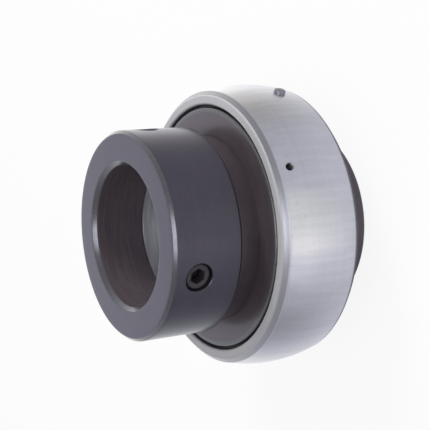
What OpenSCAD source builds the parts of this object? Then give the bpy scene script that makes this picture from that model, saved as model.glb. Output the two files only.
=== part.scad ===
// Wide inner ring ball bearing insert with an eccentric locking collar.
// The bearing axis is Z, the middle of the ball row is at the origin and the collar is on top.

/* [Rings] */
// Bore of the inner ring and of the collar
bore_d = 30; // [20:0.5:50]
// Height of the bearing's section, from the bore to the spherical outside
section = 16; // [14:0.5:20]
// Height of the outer ring's face above its seal cases
face_room = 2; // [1.7:0.1:4]
// From the ball row to the rear end of the inner ring
inner_rear = 18.3; // [13:0.1:30]
// From the ball row to the front end of the inner ring
inner_front = 18.2; // [16:0.1:30]
// Chamfer on the outer edges of the outer ring
outer_chamfer = 0.8; // [0.3:0.1:1.2]
// Chamfer on the ends of the inner ring
inner_chamfer = 0.5; // [0.2:0.1:0.8]

/* [Balls and races] */
// Ball diameter
ball_d = 9.525; // [8.5:0.025:11]
// Number of balls
ball_count = 9; // [7:1:9]
// Gap between a ball and the bottom of each race
race_fit = 0.03; // [0.01:0.01:0.06]
// Radius of the race grooves as a share of the ball diameter
groove_ratio = 0.52; // [0.51:0.005:0.54]
// Depth of the race in the outer ring
outer_race_depth = 1.7925; // [1.1925:0.1:1.9925]
// Depth of the race in the inner ring
inner_race_depth = 1.9425; // [1.3425:0.1:2.1425]

/* [Cage] */
// Thickness of the pressed cage sheet
cage_t = 0.7; // [0.5:0.1:0.8]
// Radial width of the cage
cage_w = 3.4; // [2.8:0.1:3.6]
// Gap between a ball and its pocket
pocket_fit = 0.15; // [0.1:0.05:0.2]
// Shank diameter of the cage rivets
rivet_d = 1.5; // [1:0.1:1.6]
// Head diameter of the cage rivets
rivet_head_d = 2.6; // [2:0.1:2.7]
// Head height of the cage rivets
rivet_head_h = 0.5; // [0.3:0.1:0.6]

/* [Seals] */
// Gap between the cage and the seal shelf
shelf_gap = 1.2875; // [0.9875:0.1:1.9875]
// Step from the land beside the race out to the wall of the seal recess
recess_step = 0.9; // [0.6:0.1:1.2]
// Depth of the snap groove that holds a seal case
snap_depth = 0.35; // [0.2:0.05:0.5]
// Sheet thickness of the seal case
case_t = 0.6; // [0.4:0.1:0.7]
// Height of the seal lip from the inner ring to its case
lip_height = 2.55; // [1.8:0.05:3.5]
// How far the seal lip stands out of its case
lip_reach = 0.7; // [0.5:0.1:0.8]
// Thickness of the seal lip at its edge
lip_t = 0.35; // [0.25:0.05:0.5]
// Running gap of the seal lip on the inner ring
lip_fit = 0.05; // [0.02:0.01:0.1]
// Sheet thickness of the flinger
flinger_t = 0.6; // [0.4:0.1:0.8]
// Gap between the flinger and the outer ring
flinger_gap = 0.6; // [0.3:0.1:1]
// Depth of the flinger below the face of the outer ring
flinger_depth = 0.2; // [0:0.1:0.3]
// Gap between the rim of the flinger and the seal case
rim_gap = 0.5; // [0.3:0.1:0.8]
// Gap between the hub of the flinger and the seal lip
hub_gap = 0.1; // [0.05:0.05:0.3]

/* [Locking collar] */
// Wall of the collar round its bore
collar_wall = 7.25; // [6.5:0.25:10]
// Width of the collar
collar_w = 15.9; // [13:0.1:22]
// Depth of the eccentric recess that takes the cam
recess_depth = 4; // [3:0.1:4.6]
// Step from the outside of the inner ring down to the cam
cam_step = 1.25; // [1.2:0.05:1.6]
// Eccentricity of the cam
cam_offset = 0.9; // [0.5:0.1:0.9]
// Direction of the eccentricity round the bearing
cam_angle = 150; // [0:5:360]
// Running gap between the cam and the recess
cam_fit = 0.08; // [0.04:0.01:0.1]
// Gap between the collar and the shoulder of the inner ring
shoulder_gap = 0.4; // [0.2:0.1:0.6]
// Chamfer on the shoulder behind the cam
shoulder_chamfer = 0.3; // [0.1:0.1:0.3]
// Chamfer on the outer edges of the collar
collar_chamfer = 0.7; // [0.3:0.1:1.2]
// Chamfer at the mouth of the collar bore
mouth_chamfer = 0.9; // [0.4:0.1:1.5]
// Diameter of the blind drift hole
drift_d = 5; // [3:0.5:6]
// Depth of the blind drift hole
drift_depth = 4; // [2:0.5:4.5]
// Place of the drift hole round the collar
drift_angle = 80; // [60:1:120]

/* [Set screw] */
// Thread diameter of the set screw
screw_d = 6; // [4:1:6]
// Depth of the screw head below the collar
screw_recess = 0.7; // [0.3:0.1:1]
// Gap between the screw point and the bore
point_gap = 0.55; // [0.2:0.05:1]
// Key size of the hexagon socket
socket_af = 3; // [2:0.5:3]
// Depth of the hexagon socket
socket_depth = 2.8; // [1.5:0.1:3]
// Diameter of the cup point
point_d = 3.6; // [2:0.1:3.8]
// Running gap between the screw and its hole
screw_fit = 0.05; // [0.03:0.01:0.1]
// Place of the set screw round the collar
screw_angle = -26; // [-60:1:30]

/* [Lubrication hole and locating pin] */
// Diameter of the lubrication hole
lube_d = 1.5; // [1:0.1:1.6]
// Place of the lubrication hole round the outer ring
lube_angle = 20; // [-40:1:45]
// Distance of the lubrication hole from the seal shelf
lube_inset = 0.95; // [0.9:0.05:1.4]
// Diameter of the locating pin
pin_d = 2.5; // [1.5:0.1:3.5]
// Height of the locating pin above the outer ring
pin_proud = 1; // [0.5:0.1:1.5]
// Depth of the locating pin in the outer ring
pin_depth = 2; // [1.2:0.1:2.2]
// Place of the locating pin round the outer ring
pin_angle = 61; // [50:1:120]
// Place of the locating pin along the bearing
pin_z = -2.8; // [-4:0.1:4]

/* [Hidden] */
$fn = 96;
// How far a cutting shape runs past the face that it cuts
past = 1;

bore_r = bore_d / 2;
outer_r = bore_r + section;
// The balls run half way between the bore and the outside
pitch_r = bore_r + section / 2;
ball_r = ball_d / 2;
ball_step = 360 / ball_count;

outer_race_r = pitch_r + ball_r + race_fit;
inner_race_r = pitch_r - ball_r - race_fit;
inner_r = inner_race_r + inner_race_depth;
land_r = outer_race_r - outer_race_depth;
groove_r = groove_ratio * ball_d;
outer_groove_centre = outer_race_r - groove_r;
inner_groove_centre = inner_race_r + groove_r;

pocket_r = ball_r + pocket_fit;
shell_r = pocket_r + cage_t;
cage_in = pitch_r - cage_w / 2;
cage_out = cage_in + cage_w;

recess_r = land_r + recess_step;
snap_r = recess_r + snap_depth;
shelf_z = shell_r + shelf_gap;
case_top = shelf_z + case_t;
half_w = case_top + face_room;
// Radius at which the sphere meets the plane of the face
face_r = sqrt(outer_r * outer_r - half_w * half_w);
mouth_edge = 0.3;
lip_root_r = inner_r + lip_height;
lip_r = inner_r + lip_fit;
lip_top = case_top + lip_reach;
flinger_r = recess_r - flinger_gap;
flinger_z = half_w - flinger_depth;

cam_r = inner_r - cam_step;
cam_start = inner_front - recess_depth - shoulder_gap;
cam_centre = cam_offset * [cos(cam_angle), sin(cam_angle)];
collar_r = bore_r + collar_wall;
collar_rear = inner_front - recess_depth;
collar_front = collar_rear + collar_w;
// The drilled holes are in the middle of the thick part of the collar
drill_z = (inner_front + collar_front) / 2;

screw_r = screw_d / 2;
screw_head = collar_r - screw_recess;
screw_tip = bore_r + point_gap;
screw_len = screw_head - screw_tip;
thread_chamfer = 0.5;

// The lubrication hole opens in the land between the race and the seal shelf
lube_z = shelf_z - lube_inset;
// Where a radius meets the sphere at the height of the pin
pin_seat = sqrt(outer_r * outer_r - pin_z * pin_z);

black_oxide = [0.28, 0.26, 0.29];
ground_steel = [0.78, 0.77, 0.76];
pressed_steel = [0.62, 0.62, 0.63];
seal_black = [0.1, 0.09, 0.09];

// Turns a profile drawn as radius and height round the bearing axis
module turned() {
    rotate_extrude() children();
}

// Puts a shape that points along +X at an angle and a height on the bearing
module at_angle(angle, z) {
    rotate([0, 0, angle]) translate([0, 0, z]) children();
}

// Cylinder along +X from one radius to another
module radial_cylinder(r, from, to) {
    translate([from, 0, 0]) rotate([0, 90, 0]) cylinder(r = r, h = to - from);
}

// Mirrors a rear piece from the front one
module rear() {
    mirror([0, 0, 1]) children();
}

// Cone that breaks the edge of a bore, with its wide end up at z
module bore_edge(z, r, chamfer) {
    translate([0, 0, z - chamfer]) cylinder(r1 = r, r2 = r + chamfer + past, h = chamfer + past);
}

module race_groove(centre) {
    translate([centre, 0]) circle(r = groove_r);
}

module inner_ring_blank() {
    turned() difference() {
        polygon([
            [bore_r - past, -inner_rear], [inner_r - inner_chamfer, -inner_rear],
            [inner_r, -inner_rear + inner_chamfer], [inner_r, cam_start - shoulder_chamfer],
            [inner_r - shoulder_chamfer, cam_start], [bore_r - past, cam_start]
        ]);
        race_groove(inner_groove_centre);
    }
}

// Round cam, set off the bearing axis, that the collar locks on
module cam() {
    translate(cam_centre) {
        translate([0, 0, cam_start - past])
            cylinder(r = cam_r, h = inner_front - inner_chamfer - cam_start + past);
        translate([0, 0, inner_front - inner_chamfer])
            cylinder(r1 = cam_r, r2 = cam_r - inner_chamfer, h = inner_chamfer);
    }
}

module inner_ring() {
    color(black_oxide) difference() {
        union() {
            inner_ring_blank();
            cam();
        }
        translate([0, 0, -inner_rear - past])
            cylinder(r = bore_r, h = inner_rear + inner_front + 2 * past);
        bore_edge(inner_front, bore_r, inner_chamfer);
        rear() bore_edge(inner_rear, bore_r, inner_chamfer);
    }
}

// Seal shelf, snap groove and mouth cut into the front half of the outer ring
module seal_recess() {
    polygon([
        [land_r - past, shelf_z], [snap_r, shelf_z], [snap_r, case_top], [recess_r, case_top],
        [recess_r, half_w - mouth_edge], [recess_r + mouth_edge + past, half_w + past],
        [land_r - past, half_w + past]
    ]);
}

module outer_ring_profile() {
    difference() {
        intersection() {
            circle(r = outer_r);
            polygon([
                [land_r, -half_w], [face_r - outer_chamfer, -half_w],
                [face_r - outer_chamfer + half_w, 0],
                [face_r - outer_chamfer, half_w], [land_r, half_w]
            ]);
        }
        race_groove(outer_groove_centre);
        seal_recess();
        mirror([0, 1]) seal_recess();
    }
}

module outer_ring() {
    color(ground_steel) difference() {
        turned() outer_ring_profile();
        at_angle(lube_angle, lube_z) radial_cylinder(lube_d / 2, land_r - past, outer_r + past);
        at_angle(pin_angle, pin_z)
            radial_cylinder(pin_d / 2, pin_seat - pin_depth, outer_r + past);
    }
}

// Straight pin with a domed end, pressed into the outer ring
module locating_pin() {
    dome = pin_d / 5;
    top = pin_seat + pin_proud;
    color(ground_steel) at_angle(pin_angle, pin_z)
        translate([pin_seat - pin_depth, 0, 0]) rotate([0, 90, 0]) turned() intersection() {
            square([pin_d / 2, pin_depth + pin_proud]);
            translate([0, pin_depth + pin_proud - dome_r(pin_d / 2, dome)])
                circle(r = dome_r(pin_d / 2, dome));
        }
}

// Radius of the arc over a half chord with a given rise
function dome_r(half, rise) = (half * half + rise * rise) / (2 * rise);

// Pressed ring that is snapped into the outer ring and carries the lip
module seal_case() {
    turned() polygon([
        [lip_root_r, shelf_z], [snap_r, shelf_z], [snap_r, case_top], [lip_root_r, case_top]
    ]);
}

// Rubber lip bonded to the inner edge of the case, with its edge on the inner ring
module seal_lip() {
    turned() polygon([
        [lip_root_r, shelf_z], [lip_root_r, case_top],
        [lip_r + lip_t + lip_reach / 2, case_top], [lip_r + lip_t, lip_top], [lip_r, lip_top],
        [lip_r, lip_top - lip_t], [lip_r + lip_reach / 2, shelf_z]
    ]);
}

// Pressed disc on the inner ring, with a hub and a rounded outer rim that point inwards
module flinger() {
    bend = flinger_t;
    hub_low = lip_top + hub_gap;
    rim_low = case_top + rim_gap;
    turned() {
        translate([inner_r, flinger_z - flinger_t])
            square([flinger_r - inner_r - bend, flinger_t]);
        translate([inner_r, hub_low]) square([flinger_t, flinger_z - hub_low]);
        translate([flinger_r - flinger_t, rim_low])
            square([flinger_t, flinger_z - bend - rim_low]);
        translate([flinger_r - bend, flinger_z - bend]) intersection() {
            circle(r = bend);
            square(bend);
        }
    }
}

module front_flinger() {
    color(seal_black) flinger();
}

module rear_flinger() {
    color(seal_black) rear() flinger();
}

module front_seal_case() {
    color(pressed_steel) seal_case();
}

module rear_seal_case() {
    color(pressed_steel) rear() seal_case();
}

module front_seal_lip() {
    color(seal_black) seal_lip();
}

module rear_seal_lip() {
    color(seal_black) rear() seal_lip();
}

// Repeats its child at every ball, turned by a share of the ball step
module at_balls(share = 0) {
    for (i = [0 : ball_count - 1])
        rotate([0, 0, (i + share) * ball_step]) translate([pitch_r, 0, 0]) children();
}

// The ribbon that both halves of the cage are cut from, from the plane of the balls upwards
module cage_band() {
    turned() translate([cage_in, 0]) square([cage_w, shell_r + past]);
}

// Half of the pressed ribbon cage: round pockets joined by flat webs with rivet holes
module cage_half() {
    intersection() {
        cage_band();
        difference() {
            union() {
                translate([0, 0, -past]) cylinder(r = cage_out + past, h = cage_t + past);
                at_balls() sphere(r = shell_r);
            }
            at_balls() sphere(r = pocket_r);
            at_balls(0.5) translate([0, 0, -2 * past]) cylinder(d = rivet_d, h = cage_t + 3 * past);
        }
    }
}

module cage_front() {
    color(pressed_steel) cage_half();
}

module cage_rear() {
    color(pressed_steel) rear() cage_half();
}

// Rivet head as a cap of a sphere on the cage web
module rivet_head() {
    r = dome_r(rivet_head_d / 2, rivet_head_h);
    intersection() {
        translate([0, 0, cage_t]) cylinder(d = rivet_head_d, h = rivet_head_h);
        translate([0, 0, cage_t + rivet_head_h - r]) sphere(r = r);
    }
}

module cage_rivets() {
    color(pressed_steel) at_balls(0.5) {
        translate([0, 0, -cage_t]) cylinder(d = rivet_d, h = 2 * cage_t);
        rivet_head();
        rear() rivet_head();
    }
}

// One ball of the row, if the row has that many
module ball(number) {
    if (number <= ball_count)
        color(ground_steel) rotate([0, 0, (number - 1) * ball_step])
            translate([pitch_r, 0, 0]) sphere(r = ball_r);
}

module collar_blank() {
    turned() polygon([
        [bore_r - past, collar_rear], [collar_r - collar_chamfer, collar_rear],
        [collar_r, collar_rear + collar_chamfer], [collar_r, collar_front - collar_chamfer],
        [collar_r - collar_chamfer, collar_front], [bore_r - past, collar_front]
    ]);
}

// Flat-bottomed recess, set off the axis like the cam that it takes
module cam_recess() {
    translate(cam_centre) {
        translate([0, 0, collar_rear - past])
            cylinder(r = cam_r + cam_fit, h = recess_depth + past);
        rear() bore_edge(-collar_rear, cam_r + cam_fit, mouth_edge);
    }
}

module drift_hole() {
    at_angle(drift_angle, drill_z)
        radial_cylinder(drift_d / 2, collar_r - drift_depth, collar_r + past);
}

module screw_hole() {
    at_angle(screw_angle, drill_z)
        radial_cylinder(screw_r + screw_fit, bore_r - past, collar_r + past);
}

module locking_collar() {
    color(black_oxide) difference() {
        collar_blank();
        translate([0, 0, collar_rear - past]) cylinder(r = bore_r, h = collar_w + 2 * past);
        bore_edge(collar_front, bore_r, mouth_chamfer);
        cam_recess();
        drift_hole();
        screw_hole();
    }
}

// Cup point set screw with a hexagon socket, lying along +X with its head outwards
module set_screw() {
    cup = 0.5;
    color(black_oxide) at_angle(screw_angle, drill_z)
        translate([screw_tip, 0, 0]) rotate([0, 90, 0]) difference() {
            turned() polygon([
                [0, cup], [point_d / 2 - cup, 0], [point_d / 2, 0],
                [screw_r, screw_r - point_d / 2], [screw_r, screw_len - thread_chamfer],
                [screw_r - thread_chamfer, screw_len], [0, screw_len]
            ]);
            translate([0, 0, screw_len - socket_depth])
                cylinder(d = socket_af / cos(30), h = socket_depth + past, $fn = 6);
        }
}

inner_ring();
outer_ring();
front_flinger();
rear_flinger();
front_seal_case();
rear_seal_case();
front_seal_lip();
rear_seal_lip();
cage_front();
cage_rear();
cage_rivets();
ball(1);  // ball_1
ball(2);  // ball_2
ball(3);  // ball_3
ball(4);  // ball_4
ball(5);  // ball_5
ball(6);  // ball_6
ball(7);  // ball_7
ball(8);  // ball_8
ball(9);  // ball_9
locking_collar();
set_screw();
locating_pin();
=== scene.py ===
"""Looks of the insert bearing.

Rings, flingers, collar, set screw and pin are made anew with rounded edges, and each piece gets its finish.
"""

import math

import bmesh
import bpy
from mathutils import Matrix, Vector


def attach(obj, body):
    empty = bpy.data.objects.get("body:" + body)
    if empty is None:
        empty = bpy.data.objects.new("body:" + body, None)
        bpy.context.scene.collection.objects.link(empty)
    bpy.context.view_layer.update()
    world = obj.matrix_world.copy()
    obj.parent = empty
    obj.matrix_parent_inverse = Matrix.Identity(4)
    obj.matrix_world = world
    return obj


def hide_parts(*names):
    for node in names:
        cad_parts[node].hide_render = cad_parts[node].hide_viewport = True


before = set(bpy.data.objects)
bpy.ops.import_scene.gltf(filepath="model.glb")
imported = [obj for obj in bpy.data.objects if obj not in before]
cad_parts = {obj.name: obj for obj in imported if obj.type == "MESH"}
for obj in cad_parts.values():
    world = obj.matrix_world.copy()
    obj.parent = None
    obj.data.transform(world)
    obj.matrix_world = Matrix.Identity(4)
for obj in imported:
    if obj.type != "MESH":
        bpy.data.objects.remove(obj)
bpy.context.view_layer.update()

MM = 0.001
TURN = 2 * math.pi

# The picture and the place of the ball row's centre in it, both in pixels
PICTURE = 430
CENTRE_AT = (244.7, 223.8)
FOCAL_PIXELS = 1112.6
SENSOR = 36
# Place of the camera, in metres, and its roll
CAMERA_FROM = (0.2113, 0, 0.1315)
CAMERA_ROLL = math.radians(-6)

# Fineness of the meshes
SEGMENTS = 224
PIN_SEGMENTS = 48
SCREW_SEGMENTS = 72
ROWS_PER_PITCH = 10
ARC_STEPS = 4
SPHERE_STEPS = 26
GROOVE_STEPS = 14
HOLE_STEPS = 40
COLLAR_ROWS = 0.9
SHARP_DEGREES = 32
SNUG = 0.01

# Rings, in mm from the ball row's centre
BORE_R = 15
OUTER_R = 31
HALF_W = 9.5
INNER_R = 20.15
INNER_REAR = -18.3
INNER_FRONT = 18.2
OUTER_CHAMFER = 0.8
INNER_CHAMFER = 0.5
LAND_R = 26
RECESS_R = 26.9
RECESS_CHAMFER = 0.3
SNAP_R = 27.25
SHELF_Z = 6.9
CASE_TOP = 7.5
GROOVE_R = 4.953
OUTER_GROOVE = 22.8395
INNER_GROOVE = 23.1605

# Edges on the outer ring: inner radius of the unground chamfer and of the painted dark reflection at the
# rear, start of the chamfer, end of the painted dark reflection along the rear edge
RIM_R = 28.4
BEVEL_Z = 8.34
PAINTED_REFLECTION_Z = -8.3

# Flinger
FLINGER_R = 26.3
FLINGER_Z = 9.3
FLINGER_T = 0.6
FLINGER_RIM = 1.3
FLINGER_HUB = 1

# Locking collar and its cam
COLLAR_R = 22.25
COLLAR_REAR = 14.2
COLLAR_FRONT = 30.1
COLLAR_CHAMFER = 0.7
MOUTH_CHAMFER = 0.9
CAM_R = 18.9
CAM_FIT = 0.08
CAM_START = 13.8
CAM_ANGLE = math.radians(150)
CAM_CENTRE = 0.9 * Vector((math.cos(CAM_ANGLE), math.sin(CAM_ANGLE), 0))
DRILL_Z = 24.15
DRIFT_R = 2.5
DRIFT_DEPTH = 4
DRIFT_ANGLE = math.radians(80)
DRIFT_MOUTH = 0.3
RECESS_EDGE = 0.3

# Set screw
SCREW_R = 3
SCREW_HOLE_R = 3.05
SCREW_LEN = 6
SCREW_RECESS = 0.7
SCREW_ANGLE = math.radians(-26)
SCREW_MOUTH = 0.12
SCREW_END = 0.5
SCREW_PITCH = 0.75
THREAD_DEPTH = 0.4
SOCKET_AF = 3
SOCKET_DEPTH = 2.8
SOCKET_MOUTH_R = 2.05
SOCKET_MOUTH_DEPTH = 0.12
POINT_R = 1.8

# Lubrication hole and locating pin
LUBE_R = 0.75
LUBE_ANGLE = math.radians(20)
LUBE_Z = 5.95
LUBE_MOUTH = 0.15
LUBE_MOUTH_DEPTH = 0.25
PIN_R = 1.25
PIN_PROUD = 1
PIN_DEPTH = 2
PIN_ANGLE = math.radians(61)
PIN_Z = -2.8
SHOULDER_CHAMFER = 0.3

# Tints of the metals, and of what they mirror
RING_TINT = (1, 0.985, 0.99)
OXIDE_TINT = (1, 0.96, 1)
WHITE, LILAC, BEIGE, GREENISH = (1, 1, 1), (0.95, 0.975, 1.12), (1.02, 1, 0.96), (0.97, 1.01, 1.01)

# Surroundings. A lamp has a name, a direction, a distance in metres, a size and its watts
WORLD_LEVEL = 0.45
FLOOR_SIZE = 3
FLOOR_WHITE = 0.9
PAPER = 0.9
LAMPS = (
    ("front", (0.55, -0.05, 0.85), 0.8, (0.3, 0.3), 1.0),
    ("above", (0.05, 0.9, 0.45), 0.8, (0.3, 0.3), 5.0),
)
# What the metal mirrors from round the bearing: azimuth in degrees, level and tint
SURROUND = (
    (-180, 1.5, WHITE), (-160, 1.3, WHITE), (-140, 1, GREENISH), (-120, 0.66, LILAC), (-100, 0.36, LILAC),
    (-80, 0.34, LILAC), (-60, 0.54, LILAC), (-40, 0.88, LILAC), (-20, 1.3, WHITE), (-4, 0.93, GREENISH),
    (10, 0.95, GREENISH), (28, 0.62, LILAC), (50, 0.6, LILAC), (70, 0.5, LILAC), (98, 0.42, BEIGE),
    (120, 0.86, BEIGE), (140, 1.6, WHITE), (180, 1.6, WHITE),
)
TABLE_LEVEL = 0.74
# Mirrored from above: behind the bearing, elsewhere, and a bright card in front
HIGH_BEHIND, HIGH, CARD = 1, 0.55, 4.4
CARD_TOWARDS = Vector((0.53, -0.08, 0.84)).normalized()
# Between which values of the direction's z or x, or of its closeness to the card, these blend
TABLE_BLEND = (-0.95, -0.15)
HORIZON_BLEND = (-0.05, 0.35)
BEHIND_BLEND = (-0.7, 0)
CARD_BLEND = (0.935, 0.985)


class Wire:
    """One output of a material's nodes. Python's operators on it add Math nodes."""

    def __init__(self, tree, socket=None):
        self.tree = tree
        self.socket = socket

    def node(self, kind, settings=None, inputs=None, output=0):
        """Adds any node: its settings first, then the values or wires of its sockets."""
        made = self.tree.nodes.new(kind)
        for name, value in (settings or {}).items():
            if name == "stops":
                self.set_stops(made.color_ramp, value)
                made.color_ramp.interpolation = "EASE"
            else:
                setattr(made, name, value)
        for key, value in (inputs or {}).items():
            if isinstance(value, Wire):
                self.tree.links.new(value.socket, made.inputs[key])
            else:
                made.inputs[key].default_value = value
        return Wire(self.tree, made.outputs[output])

    @staticmethod
    def set_stops(ramp, stops):
        while len(ramp.elements) < len(stops):
            ramp.elements.new(0.5)
        for element, (place, colour) in zip(ramp.elements, stops):
            element.position = place
            element.color = colour

    def math(self, operation, *values):
        return self.node("ShaderNodeMath", {"operation": operation}, dict(enumerate(values)))

    def __add__(self, other):
        return self.math("ADD", self, other)

    def __sub__(self, other):
        return self.math("SUBTRACT", self, other)

    def __rsub__(self, other):
        return self.math("SUBTRACT", other, self)

    def __mul__(self, other):
        return self.math("MULTIPLY", self, other)

    def __truediv__(self, other):
        return self.math("DIVIDE", self, other)

    def __pow__(self, other):
        return self.math("POWER", self, other)

    __radd__ = __add__
    __rmul__ = __mul__

    def clamped(self):
        return self.math("MINIMUM", self.math("MAXIMUM", self, 0), 1)

    def step(self, low, high):
        """0 below low, 1 above high, and a smooth rise between them."""
        return self.node(
            "ShaderNodeMapRange",
            {"interpolation_type": "SMOOTHSTEP"},
            {"Value": self, "From Min": low, "From Max": high},
        )

    def mix(self, first, second):
        """The first colour where this is 0 and the second where it is 1."""
        inputs = {0: self, 6: first, 7: second}
        return self.node("ShaderNodeMix", {"data_type": "RGBA"}, inputs, output=2)

    def vector(self, x, y, z):
        return self.node("ShaderNodeCombineXYZ", None, {0: x, 1: y, 2: z})

    def noise(self, place, scale, detail=4, roughness=0.55):
        inputs = {"Vector": place, "Scale": scale, "Detail": detail, "Roughness": roughness}
        return self.node("ShaderNodeTexNoise", None, inputs)


def grey(level, tint=(1, 1, 1)):
    return (level * tint[0], level * tint[1], level * tint[2], 1)


class Finish:
    """A material in the making: its coordinates about the bearing axis, in mm, and its shader."""

    def __init__(self, name, **constants):
        self.material = bpy.data.materials.new(name)
        self.material.use_nodes = True
        self.tree = self.material.node_tree
        self.shader = self.tree.nodes["Principled BSDF"]
        for socket, value in constants.items():
            self.shader.inputs[socket.replace("_", " ")].default_value = value
        start = Wire(self.tree)
        self.place = start.node("ShaderNodeTexCoord", output=3)
        scaled = start.node(
            "ShaderNodeVectorMath", {"operation": "SCALE"}, {0: self.place, "Scale": 1 / MM}
        )
        self.place = scaled
        split = scaled.node("ShaderNodeSeparateXYZ", None, {0: scaled})
        outputs = split.socket.node.outputs
        self.x, self.y, self.z = (Wire(self.tree, outputs[i]) for i in range(3))
        self.r = (self.x * self.x + self.y * self.y) ** 0.5

    def around(self, spread):
        """Vector that changes slowly round the axis and fast across it, for turned and ground marks."""
        across = self.z + self.r * 0.37
        return self.r.vector(self.x / self.r * spread, self.y / self.r * spread, across)

    def along(self, pull):
        """Vector that changes round the axis and hardly along it, for a painted streaky reflection."""
        return self.r.vector(self.x, self.y, self.z * pull)

    def height(self):
        """Distance from the plane of the balls."""
        return self.z.math("ABSOLUTE", self.z)

    def feed(self, socket, wire):
        self.tree.links.new(wire.socket, self.shader.inputs[socket])

    def bump(self, height, depth_mm, strength=1):
        inputs = {"Strength": strength, "Distance": depth_mm * MM, "Height": height}
        self.feed("Normal", height.node("ShaderNodeBump", None, inputs))


def outer_ring_zones(finish):
    """Where the outer ring isn't ground, and where shade and a dark reflection are painted on it: each mask
    with its colour, added roughness and lost metallic.
    """
    # Colour of the painted dark reflection on the rear edge and of the painted shade in the lubrication
    # hole
    dark = grey(0.1, OXIDE_TINT)
    height = finish.height()
    rim = finish.r.step(RIM_R, RIM_R + 0.2)
    bevel = height.step(BEVEL_Z, BEVEL_Z + 0.08) * rim
    face = height.step(HALF_W - 0.35, HALF_W - 0.2) * finish.r.step(RECESS_R - 0.2, RECESS_R)
    # Painted dark reflection: a dark band round the rear edge of the sphere
    painted_dark_reflection = (1 - finish.z.step(PAINTED_REFLECTION_Z, PAINTED_REFLECTION_Z + 0.7)) * rim
    # Painted shade: the seal recess seen through the gap is coloured dark
    recess = height.step(SHELF_Z - 0.2, SHELF_Z - 0.1) * (1 - finish.r.step(RECESS_R, RECESS_R + 0.1))
    # Painted shade: the mouth and wall of the lubrication hole are coloured dark
    depth = OUTER_R - (finish.r ** 2 + finish.z ** 2) ** 0.5
    hole = depth.step(0.15, 0.4) * finish.r.step(LAND_R + 0.2, LAND_R + 0.4)
    hole = hole * (1 - height.step(SHELF_Z - 0.1, SHELF_Z - 0.05))
    return (
        (bevel, grey(0.42, RING_TINT), 0.15, 0),
        (face, grey(0.53, RING_TINT), 0.2, 0.75),
        # Painted dark reflection on the rear edge
        (painted_dark_reflection, dark, 0, 0),
        # Painted shade in the seal recess
        (recess, grey(0.16, OXIDE_TINT), 0.25, 0.4),
        # Painted shade in the lubrication hole
        (hole, dark, 0.25, 0.4),
    )


def ground_steel(name, level, tint, roughness, zones=None):
    """Bright bearing steel: fine ground lines round the axis, a painted streaky reflection, faint haze and
    small marks.

    The zones are a function that gives the places with another finish, and the places with painted shade
    and a painted dark reflection.
    """
    finish = Finish(name, Anisotropic=0.7, Anisotropic_Rotation=0.25, Metallic=1)
    lines = finish.r.noise(finish.around(1.5), 9, detail=5, roughness=0.7)
    bands = finish.r.noise(finish.around(0.6), 1.1, detail=2)
    # Painted reflection: light and dark streaks across the width, in the base colour
    painted_reflection = finish.r.noise(finish.along(0.04), 0.7, detail=5, roughness=0.65)
    haze = finish.r.noise(finish.place, 0.09, detail=3)
    marks = finish.r.noise(finish.place, 0.9, detail=5).step(0.62, 0.74)
    shade = 0.66 + 0.1 * lines + 0.08 * bands + 0.32 * painted_reflection + 0.04 * haze - 0.05 * marks
    steel = shade.clamped().mix(grey(0), grey(level, tint))
    rough = roughness - 0.07 + 0.1 * lines + 0.06 * haze + 0.08 * marks
    if zones:
        metallic = 1
        for mask, colour, rougher, duller in zones(finish):
            steel = mask.mix(steel, colour)
            rough = rough + rougher * mask
            metallic = metallic - duller * mask
        finish.feed("Metallic", metallic.clamped())
    finish.feed("Base Color", steel)
    finish.feed("Roughness", rough.clamped())
    finish.bump(lines + 0.5 * bands, 0.006, 0.5)
    return finish.material


def black_oxide(name, level, tint, roughness, metallic=0.6, bore=None, edges=(), oil=0):
    """Oxide-blackened steel: turned marks, a cloudy film and a coat of oil.

    The bore can have a finish of its own: level, tint, metallic and roughness. An edge, given by
    its r and z, is rubbed to another level within its reach.
    """
    finish = Finish(name, Coat_Weight=oil, Coat_Roughness=0.15, Metallic=metallic)
    lines = finish.r.noise(finish.around(0.9), 2.6, detail=5, roughness=0.7)
    cloud = finish.r.noise(finish.place, 0.16, detail=6, roughness=0.65)
    speck = finish.r.noise(finish.place, 2.2, detail=4).step(0.6, 0.75)
    shade = (0.7 * lines + 0.75 * cloud + 0.25 * speck).clamped()
    coat = shade.mix(grey(level * 0.45, tint), grey(level, tint))
    rough = roughness - 0.08 + 0.14 * lines + 0.12 * cloud
    if bore:
        bore_level, bore_tint, bore_metallic, bore_roughness = bore
        inside = 1 - finish.r.step(BORE_R + 0.01, BORE_R + 0.04)
        fine = finish.r.noise(finish.around(0.9), 1.6, detail=6, roughness=0.75).step(0.3, 0.7)
        bored = fine.mix(grey(bore_level * 0.65, bore_tint), grey(bore_level, bore_tint))
        coat = inside.mix(coat, bored)
        rough = rough + inside * (bore_roughness - roughness)
        finish.feed("Metallic", metallic + inside * (bore_metallic - metallic))
    rubbed = 0.75 + 0.25 * finish.r.noise(finish.place, 1.1, detail=4).step(0.35, 0.6)
    for r, z, reach, bare in edges:
        away = ((finish.r - r) ** 2 + (finish.z - z) ** 2) ** 0.5
        worn = (1 - away.step(reach * 0.5, reach)) * rubbed
        coat = worn.mix(coat, grey(bare))
        rough = rough - 0.16 * worn
    finish.feed("Base Color", coat)
    finish.feed("Roughness", rough.clamped())
    finish.bump(lines + 0.3 * speck, 0.012, 0.6)
    return finish.material


def moulded_rubber(name):
    """Nitrile rubber: matt, with a fine moulded grain."""
    finish = Finish(name)
    grain = finish.r.noise(finish.place, 6, detail=3)
    finish.feed("Base Color", grain.mix(grey(0.012), grey(0.03)))
    finish.feed("Roughness", 0.55 + 0.2 * grain)
    finish.bump(grain, 0.02, 0.5)
    return finish.material


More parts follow.
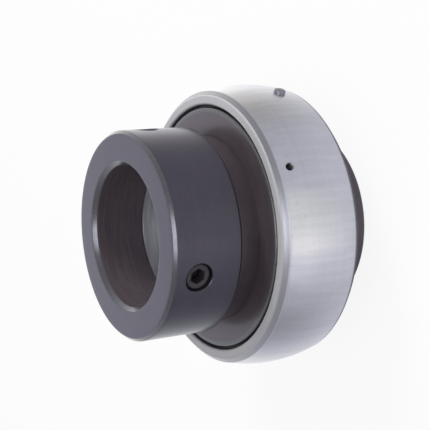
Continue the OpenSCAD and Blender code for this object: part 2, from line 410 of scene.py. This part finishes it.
def rounded(corners):
    """Outline with each corner (r, z, radius) turned into an arc of that radius."""
    points = []
    for i, (r, z, radius) in enumerate(corners):
        here = Vector((r, z))
        if radius == 0:
            points.append(here)
            continue
        before = (Vector(corners[i - 1][:2]) - here).normalized()
        after = (Vector(corners[(i + 1) % len(corners)][:2]) - here).normalized()
        half = before.angle(after) / 2
        centre = here + (before + after).normalized() * radius / math.sin(half)
        first = here + before * radius / math.tan(half) - centre
        last = here + after * radius / math.tan(half) - centre
        sweep = first.angle_signed(last)
        for step in range(ARC_STEPS + 1):
            turn = Matrix.Rotation(-sweep * step / ARC_STEPS, 2)
            points.append(centre + turn @ first)
    return points


def sphere_arc(low, high, steps):
    """Points of the outer ring's sphere between two heights, as outline corners."""
    first, last = (math.asin(z / OUTER_R) for z in (low, high))
    angles = [first + (last - first) * i / steps for i in range(steps + 1)]
    return [(OUTER_R * math.cos(a), OUTER_R * math.sin(a), 0) for a in angles]


def groove_arc(centre, first, last, steps):
    """Points of a race groove between two directions, in degrees, as outline corners."""
    angles = [math.radians(first + (last - first) * i / steps) for i in range(steps + 1)]
    return [(centre + GROOVE_R * math.cos(a), GROOVE_R * math.sin(a), 0) for a in angles]


def turned(points, segments=SEGMENTS, closed=True):
    """Bmesh of an outline in mm spun round the bearing axis."""
    bm = bmesh.new()
    verts = [bm.verts.new((r, 0, z)) for r, z in points]
    pairs = list(zip(verts, verts[1:])) + ([(verts[-1], verts[0])] if closed else [])
    edges = [bm.edges.new(pair) for pair in pairs]
    bmesh.ops.spin(
        bm, geom=verts + edges, axis=(0, 0, 1), cent=(0, 0, 0), dvec=(0, 0, 0),
        angle=TURN, steps=segments, use_merge=True, use_duplicate=False,
    )
    bmesh.ops.remove_doubles(bm, verts=bm.verts, dist=1e-5)
    return bm


def piece(name, bm, body, node, material):
    """Finishes a bmesh in mm as an object in metres that stands for a CAD node."""
    bmesh.ops.recalc_face_normals(bm, faces=bm.faces)
    bmesh.ops.scale(bm, vec=(MM, MM, MM), verts=bm.verts)
    mesh = bpy.data.meshes.new(name)
    bm.to_mesh(mesh)
    bm.free()
    mesh.shade_smooth()
    mesh.set_sharp_from_angle(angle=math.radians(SHARP_DEGREES))
    mesh.materials.append(material)
    obj = bpy.data.objects.new(name, mesh)
    bpy.context.scene.collection.objects.link(obj)
    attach(obj, body)
    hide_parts(node)


class Drill:
    """A round hole at a right angle to the bearing axis, cut into a turned mesh."""

    def __init__(self, bm, angle, z):
        self.bm = bm
        self.out = Vector((math.cos(angle), math.sin(angle), 0))
        self.side = Vector((-math.sin(angle), math.cos(angle), 0))
        self.z = z

    def mouth(self, surface_r, radius, round_both_ways):
        """Circle of that radius on the surface, a sphere or else a cylinder."""
        verts = []
        for i in range(HOLE_STEPS):
            turn = TURN * i / HOLE_STEPS
            across, up = radius * math.cos(turn), self.z + radius * math.sin(turn)
            reach = surface_r ** 2 - across ** 2 - (up ** 2 if round_both_ways else 0)
            place = self.out * math.sqrt(reach) + self.side * across + Vector((0, 0, up))
            verts.append(self.bm.verts.new(place))
        return self.closed(verts)

    def ring(self, distance, radius):
        """Circle of that radius at a distance from the bearing axis."""
        verts = []
        for i in range(HOLE_STEPS):
            turn = TURN * i / HOLE_STEPS
            place = self.out * distance + self.side * radius * math.cos(turn)
            verts.append(self.bm.verts.new(place + Vector((0, 0, self.z + radius * math.sin(turn)))))
        return self.closed(verts)

    def closed(self, verts):
        return [self.bm.edges.new((a, b)) for a, b in zip(verts, verts[1:] + verts[:1])]

    def clear(self, distance, reach):
        """Opens the surface round the hole and gives the edges of the opening."""
        at = self.out * distance + Vector((0, 0, self.z))
        near = [f for f in self.bm.faces if (f.calc_center_median() - at).length < reach]
        bmesh.ops.delete(self.bm, geom=near, context="FACES")
        return [e for e in self.bm.edges if e.is_boundary]

    def join(self, first, second):
        bmesh.ops.bridge_loops(self.bm, edges=first + second)

    def floor(self, edges):
        bmesh.ops.contextual_create(self.bm, geom=edges)


def outer_ring_mesh():
    face_r = math.sqrt(OUTER_R ** 2 - HALF_W ** 2)
    bevel_r = face_r - OUTER_CHAMFER
    # The 45 degree chamfer from the face meets the sphere at the height top
    gap = bevel_r - HALF_W
    run = (-gap + math.sqrt(gap ** 2 - 2 * (bevel_r ** 2 + HALF_W ** 2 - OUTER_R ** 2))) / 2
    top = HALF_W - run
    shoulder = [
        (bevel_r, HALF_W, 0.35), (RECESS_R + RECESS_CHAMFER, HALF_W, 0.1),
        (RECESS_R, HALF_W - RECESS_CHAMFER, 0.1), (RECESS_R, CASE_TOP, 0),
        (SNAP_R, CASE_TOP, 0), (SNAP_R, SHELF_Z, 0), (LAND_R, SHELF_Z, 0.1),
    ]
    edge = math.degrees(math.acos((LAND_R - OUTER_GROOVE) / GROOVE_R))
    corners = sphere_arc(-top, top, SPHERE_STEPS) + shoulder
    corners += groove_arc(OUTER_GROOVE, edge, -edge, GROOVE_STEPS)
    corners += [(r, -z, radius) for r, z, radius in reversed(shoulder)]
    bm = turned(rounded(corners))

    lube = Drill(bm, LUBE_ANGLE, LUBE_Z)
    surface_r = math.sqrt(OUTER_R ** 2 - LUBE_Z ** 2)
    outside = lube.clear(surface_r, LUBE_R + 0.8)
    mouth = lube.mouth(OUTER_R, LUBE_R + LUBE_MOUTH, True)
    lube.join(outside, mouth)
    neck = lube.ring(surface_r - LUBE_MOUTH_DEPTH, LUBE_R)
    lube.join(mouth, neck)
    inside = lube.clear(LAND_R, LUBE_R + 0.55)
    end = lube.mouth(LAND_R, LUBE_R, False)
    inside = [e for e in inside if e not in set(neck)]
    lube.join(inside, end)
    lube.join(neck, end)
    return bm


def inner_ring_mesh():
    edge = math.degrees(math.acos((INNER_GROOVE - INNER_R) / GROOVE_R))
    corners = [
        (BORE_R, INNER_REAR + INNER_CHAMFER, 0.15), (BORE_R + INNER_CHAMFER, INNER_REAR, 0.12),
        (INNER_R - INNER_CHAMFER, INNER_REAR, 0.12), (INNER_R, INNER_REAR + INNER_CHAMFER, 0.15),
    ]
    corners += groove_arc(INNER_GROOVE, 180 + edge, 180 - edge, GROOVE_STEPS)
    corners += [
        (INNER_R, CAM_START - SHOULDER_CHAMFER, 0.1), (INNER_R - SHOULDER_CHAMFER, CAM_START, 0.05),
        (CAM_R, CAM_START, 0), (CAM_R, INNER_FRONT - INNER_CHAMFER, 0.12),
        (CAM_R - INNER_CHAMFER, INNER_FRONT, 0.12), (BORE_R + INNER_CHAMFER, INNER_FRONT, 0.12),
        (BORE_R, INNER_FRONT - INNER_CHAMFER, 0.15),
    ]
    bm = turned(rounded(corners))
    bore_side = CAM_R - 1.9
    cam = [
        v for v in bm.verts
        if v.co.z > CAM_START - SNUG and bore_side < v.co.xy.length < CAM_R + SNUG
    ]
    bmesh.ops.translate(bm, vec=CAM_CENTRE, verts=cam)
    return bm


def collar_mesh():
    recess_r = CAM_R + CAM_FIT
    wide_r = recess_r + RECESS_EDGE
    corners = [
        (COLLAR_R - COLLAR_CHAMFER, COLLAR_REAR, 0.2), (COLLAR_R, COLLAR_REAR + COLLAR_CHAMFER, 0.25),
        (COLLAR_R, COLLAR_FRONT - COLLAR_CHAMFER, 0.3), (COLLAR_R - COLLAR_CHAMFER, COLLAR_FRONT, 0.25),
        (BORE_R + MOUTH_CHAMFER, COLLAR_FRONT, 0.2), (BORE_R, COLLAR_FRONT - MOUTH_CHAMFER, 0.25),
        (BORE_R, INNER_FRONT, 0), (recess_r, INNER_FRONT, 0),
        (recess_r, COLLAR_REAR + RECESS_EDGE, 0), (wide_r, COLLAR_REAR, 0),
    ]
    bm = turned(with_rows(rounded(corners), COLLAR_ROWS))
    recess = [
        v for v in bm.verts
        if v.co.z < INNER_FRONT + SNUG and recess_r - SNUG < v.co.xy.length < wide_r + SNUG
    ]
    bmesh.ops.translate(bm, vec=CAM_CENTRE, verts=recess)

    drift = Drill(bm, DRIFT_ANGLE, DRILL_Z)
    opening = drift.clear(COLLAR_R, DRIFT_R + 0.9)
    mouth = drift.mouth(COLLAR_R, DRIFT_R + DRIFT_MOUTH, False)
    drift.join(opening, mouth)
    neck = drift.mouth(COLLAR_R - DRIFT_MOUTH, DRIFT_R, False)
    drift.join(mouth, neck)
    bottom = drift.ring(COLLAR_R - DRIFT_DEPTH, DRIFT_R)
    drift.join(neck, bottom)
    drift.floor(bottom)

    screw = Drill(bm, SCREW_ANGLE, DRILL_Z)
    opening = screw.clear(COLLAR_R, SCREW_HOLE_R + 1)
    mouth = screw.mouth(COLLAR_R, SCREW_HOLE_R + SCREW_MOUTH, False)
    screw.join(opening, mouth)
    neck = screw.mouth(COLLAR_R - SCREW_MOUTH, SCREW_HOLE_R, False)
    screw.join(mouth, neck)
    inside = [e for e in screw.clear(BORE_R, SCREW_HOLE_R + 0.9) if e not in set(neck)]
    end = screw.mouth(BORE_R, SCREW_HOLE_R, False)
    screw.join(inside, end)
    screw.join(neck, end)
    return bm


def with_rows(points, pitch):
    """The same outline with its long sides divided, so that holes can be cut into small faces."""
    filled = []
    for here, there in zip(points, points[1:] + points[:1]):
        rows = max(1, round((there - here).length / pitch))
        filled += [here.lerp(there, i / rows) for i in range(rows)]
    return filled


def flinger_mesh(front):
    low, under = FLINGER_Z - FLINGER_RIM, FLINGER_Z - FLINGER_T
    corners = [
        (INNER_R, FLINGER_Z, 0.05), (FLINGER_R, FLINGER_Z, 0.5), (FLINGER_R, low, 0.1),
        (FLINGER_R - FLINGER_T, low, 0.1), (FLINGER_R - FLINGER_T, under, 0.05),
        (INNER_R + FLINGER_T, under, 0.1), (INNER_R + FLINGER_T, FLINGER_Z - FLINGER_HUB, 0.05),
        (INNER_R, FLINGER_Z - FLINGER_HUB, 0),
    ]
    bm = turned(rounded(corners))
    if not front:
        bmesh.ops.scale(bm, vec=(1, 1, -1), verts=bm.verts)
    return bm


def aside(bm, angle, distance, z):
    """Turns a mesh that stands on its own axis to point outwards at that place on the bearing."""
    turn = Matrix.Rotation(angle, 4, "Z") @ Matrix.Rotation(math.pi / 2, 4, "Y")
    place = Vector((distance * math.cos(angle), distance * math.sin(angle), z))
    bmesh.ops.transform(bm, matrix=Matrix.Translation(place) @ turn, verts=bm.verts)
    return bm


def set_screw_mesh():
    """Cup point screw with a helical thread and a hexagon socket."""
    low, high = SCREW_R - POINT_R, SCREW_LEN - SCREW_END
    rows = round((high - low) / SCREW_PITCH * ROWS_PER_PITCH)
    side = [(SCREW_R, low + (high - low) * i / rows) for i in range(rows + 1)]
    corners = [(0, SCREW_END), (POINT_R - SCREW_END, 0), (POINT_R, 0)] + side
    corners += [(SCREW_R - SCREW_END, SCREW_LEN), (SOCKET_MOUTH_R, SCREW_LEN)]
    bm = turned(corners, SCREW_SEGMENTS, closed=False)
    for v in bm.verts:
        if abs(v.co.xy.length - SCREW_R) < 0.001:
            phase = (v.co.z / SCREW_PITCH - math.atan2(v.co.y, v.co.x) / TURN) % 1
            fade = min(1, (v.co.z - low) / 0.3, (high - v.co.z) / 0.3)
            cut = THREAD_DEPTH * fade * abs(2 * phase - 1)
            v.co.xy *= (SCREW_R - cut) / SCREW_R
    rim = [e for e in bm.edges if e.is_boundary]
    hexagon = []
    sixth = TURN / 6
    for depth in (SOCKET_MOUTH_DEPTH, SOCKET_DEPTH):
        verts = []
        for i in range(SCREW_SEGMENTS):
            turn = TURN * i / SCREW_SEGMENTS
            reach = SOCKET_AF / 2 / math.cos((turn + sixth / 2) % sixth - sixth / 2)
            verts.append(bm.verts.new((reach * math.cos(turn), reach * math.sin(turn), SCREW_LEN - depth)))
        hexagon.append([bm.edges.new(pair) for pair in zip(verts, verts[1:] + verts[:1])])
    bmesh.ops.bridge_loops(bm, edges=rim + hexagon[0])
    bmesh.ops.bridge_loops(bm, edges=hexagon[0] + hexagon[1])
    bmesh.ops.contextual_create(bm, geom=hexagon[1])
    return aside(bm, SCREW_ANGLE, COLLAR_R - SCREW_RECESS - SCREW_LEN, DRILL_Z)


def locating_pin_mesh():
    seat = math.sqrt(OUTER_R ** 2 - PIN_Z ** 2)
    length = PIN_DEPTH + PIN_PROUD
    corners = [(0, 0, 0), (PIN_R, 0, 0.1), (PIN_R, length - 0.25, 0.3), (0, length, 0)]
    bm = turned(rounded(corners), PIN_SEGMENTS, closed=False)
    return aside(bm, PIN_ANGLE, seat - PIN_DEPTH, PIN_Z)


def camera():
    """Camera at the picture's angle, aimed so that the ball row's centre falls on its pixel."""
    back = Vector(CAMERA_FROM).normalized()
    up = Vector((0, 1, 0))
    right = up.cross(back)
    level = Matrix((right, up, back)).transposed()
    rolled = Matrix.Rotation(CAMERA_ROLL, 3, back) @ level
    across = CENTRE_AT[0] - PICTURE / 2
    down = CENTRE_AT[1] - PICTURE / 2
    aim = Vector((0, 0, -1)).rotation_difference(Vector((across, -down, -FOCAL_PIXELS)))
    turned_to = rolled @ aim.to_matrix().transposed()
    data = bpy.data.cameras.new("camera")
    data.sensor_width = SENSOR
    data.lens = FOCAL_PIXELS / PICTURE * SENSOR
    data.clip_start = 0.01
    obj = bpy.data.objects.new("camera", data)
    obj.matrix_world = Matrix.Translation(CAMERA_FROM) @ turned_to.to_4x4()
    bpy.context.scene.collection.objects.link(obj)
    bpy.context.scene.camera = obj


def lamp(name, towards, distance, size, watts):
    data = bpy.data.lights.new(name, "AREA")
    data.shape = "RECTANGLE"
    data.size, data.size_y = size
    data.energy = watts
    obj = bpy.data.objects.new(name, data)
    direction = Vector(towards).normalized()
    obj.rotation_mode = "QUATERNION"
    obj.rotation_quaternion = direction.to_track_quat("Z", "Y")
    obj.location = direction * distance
    obj.visible_glossy = False
    bpy.context.scene.collection.objects.link(obj)


def studio():
    """White surroundings with soft darker sides for the metal to show, and a white floor."""
    world = bpy.data.worlds.new("studio")
    bpy.context.scene.world = world
    world.use_nodes = True
    tree = world.node_tree
    start = Wire(tree)
    direction = start.node("ShaderNodeTexCoord", output=0)
    split = start.node("ShaderNodeSeparateXYZ", None, {0: direction})
    x, y, z = (Wire(tree, split.socket.node.outputs[i]) for i in range(3))
    azimuth = y.math("ARCTAN2", y, x) * (1 / TURN) + 0.5
    stops = [((degrees + 180) / 360, grey(level, tint)) for degrees, level, tint in SURROUND]
    round_it = start.node("ShaderNodeValToRGB", {"stops": stops}, {0: azimuth})
    low = z.step(*TABLE_BLEND).mix(grey(TABLE_LEVEL, LILAC), round_it)
    high = x.step(*BEHIND_BLEND).mix(grey(HIGH_BEHIND, LILAC), grey(HIGH, LILAC))
    facing = x * CARD_TOWARDS.x + y * CARD_TOWARDS.y + z * CARD_TOWARDS.z
    high = facing.step(*CARD_BLEND).mix(high, grey(CARD, LILAC))
    mirrored = z.step(*HORIZON_BLEND).mix(low, high)
    path = start.node("ShaderNodeLightPath")
    outputs = path.socket.node.outputs
    seen = Wire(tree, outputs["Is Camera Ray"]) + Wire(tree, outputs["Is Transmission Ray"])
    glossy = Wire(tree, outputs["Is Glossy Ray"])
    level = glossy.mix(seen.clamped().mix(grey(WORLD_LEVEL), grey(1)), mirrored)
    background = tree.nodes["Background"]
    tree.links.new(level.socket, background.inputs["Color"])
    background.inputs["Strength"].default_value = 1

    for settings in LAMPS:
        lamp(*settings)

    bm = bmesh.new()
    bmesh.ops.create_grid(bm, x_segments=8, y_segments=8, size=FLOOR_SIZE)
    bmesh.ops.translate(bm, vec=(0, 0, INNER_REAR * MM), verts=bm.verts)
    mesh = bpy.data.meshes.new("floor")
    bm.to_mesh(mesh)
    bm.free()
    floor = bpy.data.objects.new("floor", mesh)
    bpy.context.scene.collection.objects.link(floor)
    paper = bpy.data.materials.new("paper")
    paper.use_nodes = True
    shader = paper.node_tree.nodes["Principled BSDF"]
    shader.inputs["Base Color"].default_value = grey(PAPER)
    shader.inputs["Roughness"].default_value = 0.9
    shader.inputs["Specular IOR Level"].default_value = 0
    start = Wire(paper.node_tree)
    path = start.node("ShaderNodeLightPath")
    seen = Wire(paper.node_tree, path.socket.node.outputs["Is Camera Ray"])
    glow = start.node("ShaderNodeEmission", None, {"Color": grey(1)})
    mixed = start.node(
        "ShaderNodeMixShader", None,
        {0: seen * FLOOR_WHITE, 1: Wire(paper.node_tree, shader.outputs[0]), 2: glow},
    )
    output = paper.node_tree.nodes["Material Output"]
    paper.node_tree.links.new(mixed.socket, output.inputs["Surface"])
    mesh.materials.append(paper)
    floor.visible_glossy = False


def main():
    camera()
    bpy.context.scene.view_settings.view_transform = "Standard"
    ring = ground_steel("ground_ring", 0.73, RING_TINT, 0.3, outer_ring_zones)
    ground_bore = (0.77, (0.98, 0.99, 1), 1, 0.32)
    inner_edges = ((INNER_R - INNER_CHAMFER / 2, INNER_REAR + INNER_CHAMFER / 2, 0.5, 0.13),)
    oxide = black_oxide("oxide_inner", 0.105, (1.12, 0.87, 1), 0.36, 0.5, ground_bore, inner_edges, 0.25)
    dark_bore = (0.13, (1.13, 0.89, 1), 0.4, 0.5)
    collar_edges = (
        (COLLAR_R - COLLAR_CHAMFER / 2, COLLAR_FRONT - COLLAR_CHAMFER / 2, 0.65, 0.11),
        (BORE_R + MOUTH_CHAMFER / 2, COLLAR_FRONT - MOUTH_CHAMFER / 2, 0.75, 0.11),
    )
    oxide_collar = black_oxide(
        "oxide_collar", 0.07, (1, 0.87, 1.18), 0.36, 0.65, dark_bore, collar_edges, 0.5
    )
    oxide_screw = black_oxide("oxide_screw", 0.06, (1.05, 0.93, 1.0), 0.45, 0.4)
    oxide_pin = black_oxide("oxide_pin", 0.34, (1, 0.97, 1.04), 0.36, 0.85)
    rims = [(FLINGER_R - 0.3, z, 0.9, 0.11) for z in (FLINGER_Z, -FLINGER_Z)]
    flinger = black_oxide("flinger_black", 0.105, (1.14, 0.9, 0.98), 0.38, 0.45, None, rims, 0.3)
    sheet = ground_steel("pressed_sheet", 0.5, WHITE, 0.36)
    phosphated = black_oxide("phosphated_sheet", 0.11, OXIDE_TINT, 0.55, 0.3)
    lapped = ground_steel("lapped_balls", 0.7, WHITE, 0.12)
    rubber = moulded_rubber("nitrile")

    piece("outer_ring_turned", outer_ring_mesh(), "outer", "outer_ring", ring)
    piece("inner_ring_turned", inner_ring_mesh(), "inner", "inner_ring", oxide)
    piece("collar_turned", collar_mesh(), "collar", "locking_collar", oxide_collar)
    piece("front_flinger_pressed", flinger_mesh(True), "inner", "front_flinger", flinger)
    piece("rear_flinger_pressed", flinger_mesh(False), "inner", "rear_flinger", flinger)
    piece("set_screw_threaded", set_screw_mesh(), "screw", "set_screw", oxide_screw)
    piece("locating_pin_turned", locating_pin_mesh(), "outer", "locating_pin", oxide_pin)

    finishes = {"seal_case": phosphated, "seal_lip": rubber, "cage": sheet, "ball": lapped}
    for name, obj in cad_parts.items():
        for kind, material in finishes.items():
            if kind in name:
                obj.data.materials.clear()
                obj.data.materials.append(material)
    studio()


main()
